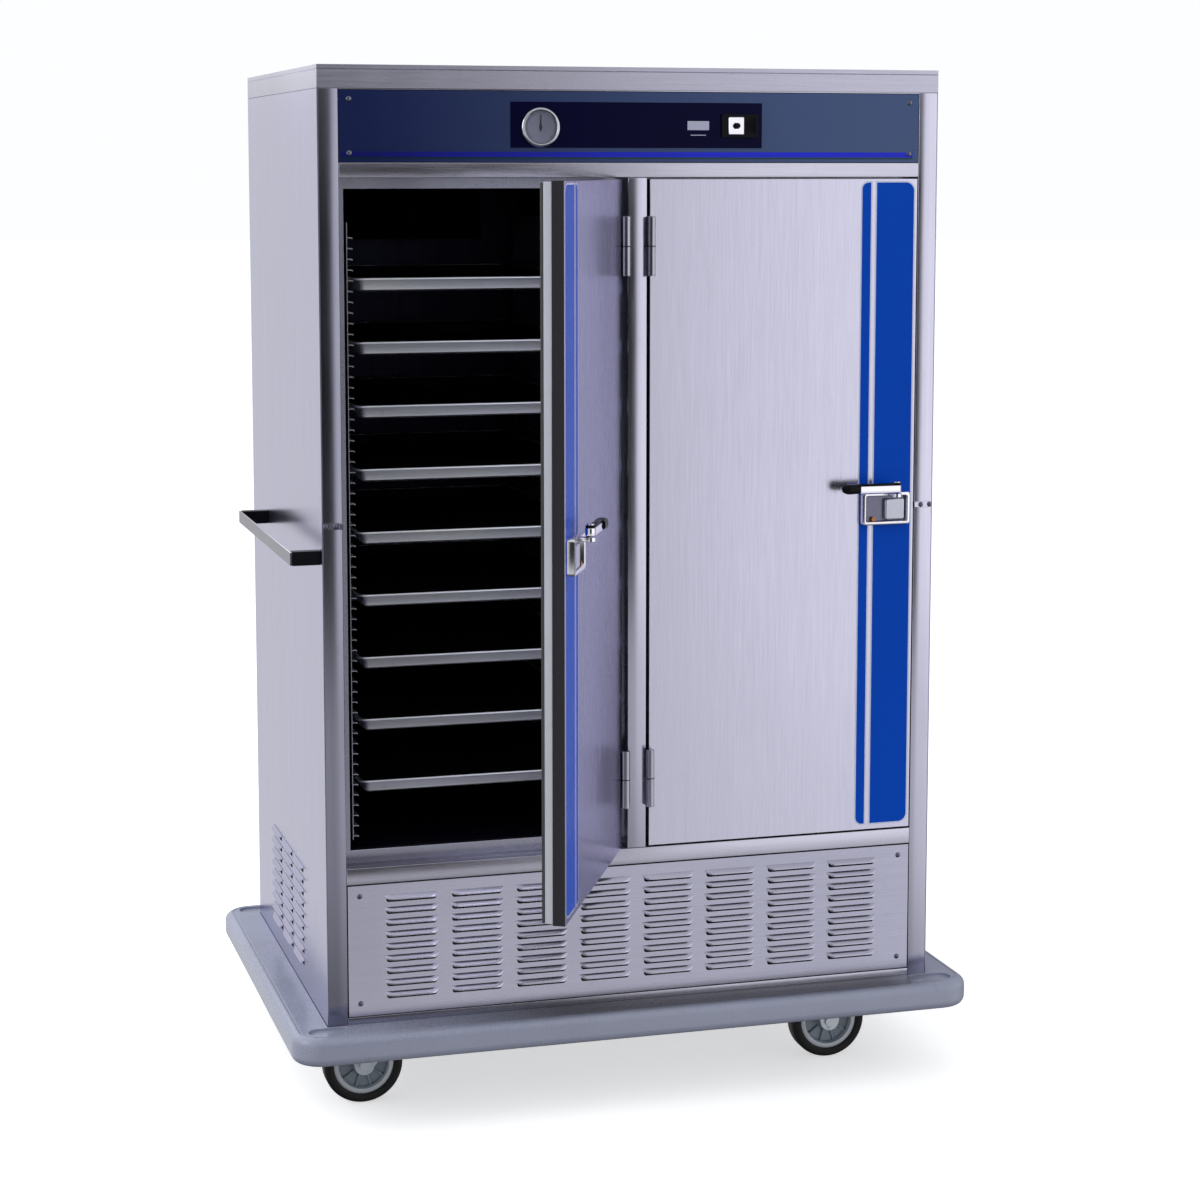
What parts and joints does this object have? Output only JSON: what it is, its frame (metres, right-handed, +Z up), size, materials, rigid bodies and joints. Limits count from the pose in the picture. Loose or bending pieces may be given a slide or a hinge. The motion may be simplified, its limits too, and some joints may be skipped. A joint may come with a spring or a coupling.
{
  "type": "insulated food carrier",
  "caption": "Tall two-door insulated cabinet on casters, with sheet-pan slides, a louvred cooling base, pull latches, a side push bar and a full bumper.",
  "frame": {"origin": "on the floor, under the middle of the cabinet body", "axes": "+Z up, the doors face -Y, +X to the right when facing the doors"},
  "size_m": [1.338, 1.3455, 1.953],
  "materials": {
    "stainless_sheet": "brushed stainless sheet",
    "steel_frame": "grey paint",
    "bumper_grey": "moulded grey, satin",
    "fascia_navy": "printed navy panel, satin",
    "black_gloss": "glossy black",
    "polished_steel": "bright polished",
    "dial_grey": "matte grey print",
    "clear_glass": "clear",
    "black_plastic": "black moulded",
    "foam": "rigid foam",
    "liner_steel": "dull stainless liner",
    "pan_aluminium": "satin aluminium",
    "black_enamel": "black enamel",
    "coil_copper": "copper tube and fins",
    "box_grey": "grey paint",
    "hinge_steel": "satin stainless",
    "zinc_plate": "zinc plated",
    "wheel_grey": "grey moulded wheel centre",
    "tyre_black": "black rubber",
    "gasket_grey": "soft grey seal"
  },
  "bodies": {
    "cabinet": {"base_frame": "steel_frame", "bumper": "bumper_grey", "left_side_panel": "stainless_sheet", "right_side_panel": "stainless_sheet", "back_panel": "stainless_sheet", "top_cap": "stainless_sheet", "face_frame": "stainless_sheet", "stop_frame": "stainless_sheet", "fascia": "fascia_navy", "control_window": "black_gloss", "thermometer_case": "polished_steel", "thermometer_dial": "dial_grey", "thermometer_lens": "clear_glass", "switch_housing": "black_plastic", "cabinet_insulation": "foam", "bay_liner": "liner_steel", "bay_divider": "foam", "tray_slides": "liner_steel", "sheet_pans": "pan_aluminium", "louvre_panel": "stainless_sheet", "compressor": "black_enamel", "condenser_coil": "coil_copper", "fan_motors": "black_enamel", "evaporator_coil": "pan_aluminium", "control_box": "box_grey", "power_inlet": "black_plastic", "frame_hinges": "hinge_steel", "latch_strikes": "polished_steel", "panel_screws": "polished_steel", "push_handle": "hinge_steel", "handle_brackets": "black_plastic", "caster_mounts": "zinc_plate"},
    "left_door": {"left_door_skin": "stainless_sheet", "left_door_foam": "foam", "left_door_pan": "stainless_sheet", "left_door_gasket": "gasket_grey", "left_door_hinges": "hinge_steel", "left_latch_housing": "polished_steel"},
    "left_lever": {"left_latch_lever": "polished_steel"},
    "right_door": {"right_door_skin": "stainless_sheet", "right_door_foam": "foam", "right_door_pan": "stainless_sheet", "right_door_gasket": "gasket_grey", "right_door_hinges": "hinge_steel", "right_latch_housing": "polished_steel"},
    "right_lever": {"right_latch_lever": "polished_steel"},
    "front_caster": {"front_fork": "zinc_plate"},
    "rear_caster": {"rear_fork": "zinc_plate"},
    "front_swivel_wheel": {"front_swivel_hub": "wheel_grey", "front_swivel_tyre": "tyre_black"},
    "rear_swivel_wheel": {"rear_swivel_hub": "wheel_grey", "rear_swivel_tyre": "tyre_black"},
    "front_fixed_wheel": {"front_fixed_hub": "wheel_grey", "front_fixed_tyre": "tyre_black"},
    "rear_fixed_wheel": {"rear_fixed_hub": "wheel_grey", "rear_fixed_tyre": "tyre_black"},
    "condenser_fan_wheel": {"condenser_fan": "black_plastic"},
    "evaporator_fan_wheel": {"evaporator_fan": "black_plastic"},
    "needle": {"thermometer_needle": "black_plastic"},
    "toggle": {"switch_toggle": "black_plastic"}
  },
  "joints": [
    {"name": "left_door_hinge", "type": "hinge", "parent": "cabinet", "child": "left_door", "pos_m": [-0.024, -0.4055, 1.12], "axis": [0, 0, 1], "range_deg": [-63, 102]},
    {"name": "right_door_hinge", "type": "hinge", "parent": "cabinet", "child": "right_door", "pos_m": [0.024, -0.4055, 1.12], "axis": [0, 0, 1], "range_deg": [-95, 0]},
    {"name": "left_latch_pull", "type": "hinge", "parent": "left_door", "child": "left_lever", "pos_m": [-0.22101, -0.84832, 1.162], "axis": [0, 0, 1], "range_deg": [-25, 0], "stiffness_Nm_per_rad": 0.8},
    {"name": "right_latch_pull", "type": "hinge", "parent": "right_door", "child": "right_lever", "pos_m": [0.508, -0.431, 1.162], "axis": [0, 0, -1], "range_deg": [-25, 0], "stiffness_Nm_per_rad": 0.8},
    {"name": "front_swivel", "type": "hinge", "parent": "cabinet", "child": "front_caster", "pos_m": [-0.462, -0.275, 0.158], "axis": [0, 0, 1], "continuous": true},
    {"name": "front_swivel_roll", "type": "hinge", "parent": "front_caster", "child": "front_swivel_wheel", "pos_m": [-0.51, -0.275, 0.076], "axis": [0, 1, 0], "continuous": true},
    {"name": "front_fixed_roll", "type": "hinge", "parent": "cabinet", "child": "front_fixed_wheel", "pos_m": [0.434, -0.275, 0.076], "axis": [0, 1, 0], "continuous": true},
    {"name": "rear_swivel", "type": "hinge", "parent": "cabinet", "child": "rear_caster", "pos_m": [-0.462, 0.275, 0.158], "axis": [0, 0, 1], "continuous": true},
    {"name": "rear_swivel_roll", "type": "hinge", "parent": "rear_caster", "child": "rear_swivel_wheel", "pos_m": [-0.51, 0.275, 0.076], "axis": [0, 1, 0], "continuous": true},
    {"name": "rear_fixed_roll", "type": "hinge", "parent": "cabinet", "child": "rear_fixed_wheel", "pos_m": [0.434, 0.275, 0.076], "axis": [0, 1, 0], "continuous": true},
    {"name": "condenser_fan_spin", "type": "hinge", "parent": "cabinet", "child": "condenser_fan_wheel", "pos_m": [-0.255, -0.262, 0.306], "axis": [0, 1, 0], "continuous": true},
    {"name": "evaporator_fan_spin", "type": "hinge", "parent": "cabinet", "child": "evaporator_fan_wheel", "pos_m": [-0.3115, 0.1275, 1.674], "axis": [0, 1, 0], "continuous": true},
    {"name": "needle_turn", "type": "hinge", "parent": "cabinet", "child": "needle", "pos_m": [-0.186, -0.402, 1.843], "axis": [0, 1, 0], "range_deg": [-120, 120]},
    {"name": "switch_tilt", "type": "hinge", "parent": "cabinet", "child": "toggle", "pos_m": [0.19, -0.3955, 1.847], "axis": [1, 0, 0], "range_deg": [-12, 12]}
  ]
}
